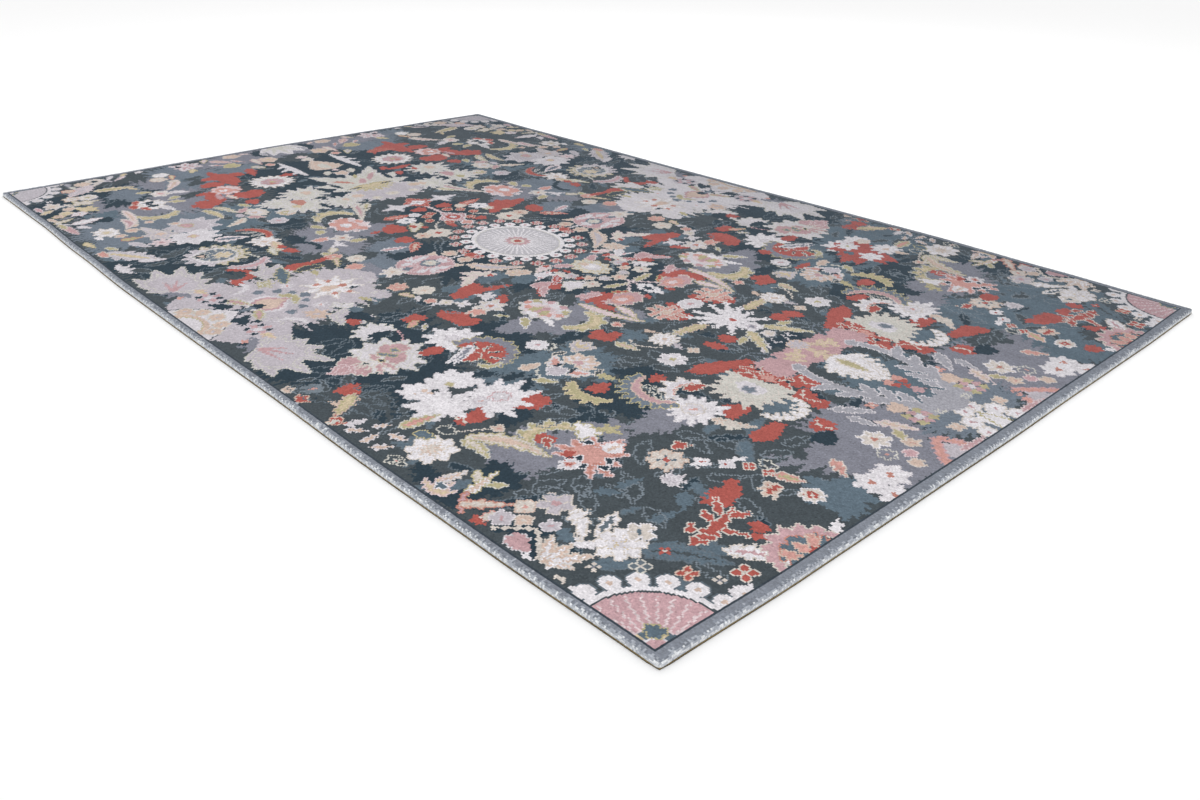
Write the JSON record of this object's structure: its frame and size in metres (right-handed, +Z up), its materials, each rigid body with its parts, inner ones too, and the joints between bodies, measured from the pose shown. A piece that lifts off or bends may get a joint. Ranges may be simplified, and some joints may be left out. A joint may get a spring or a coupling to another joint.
{
  "type": "oushak rug",
  "caption": "Flat rectangular pile rug with a narrow plain border, cut pile over a thin woven backing, lying on its backing.",
  "frame": {"origin": "on the floor, under the middle of the rug's outer rectangle", "axes": "+X along the long side, +Y from the front long side to the back one, +Z up through the pile"},
  "size_m": [2.84, 1.83, 0.012],
  "materials": {
    "pile": "matte cut pile, patterned",
    "backing": "matte plain weave"
  },
  "bodies": {
    "root": {"pile": "pile", "backing_cloth": "backing"}
  },
  "joints": []
}
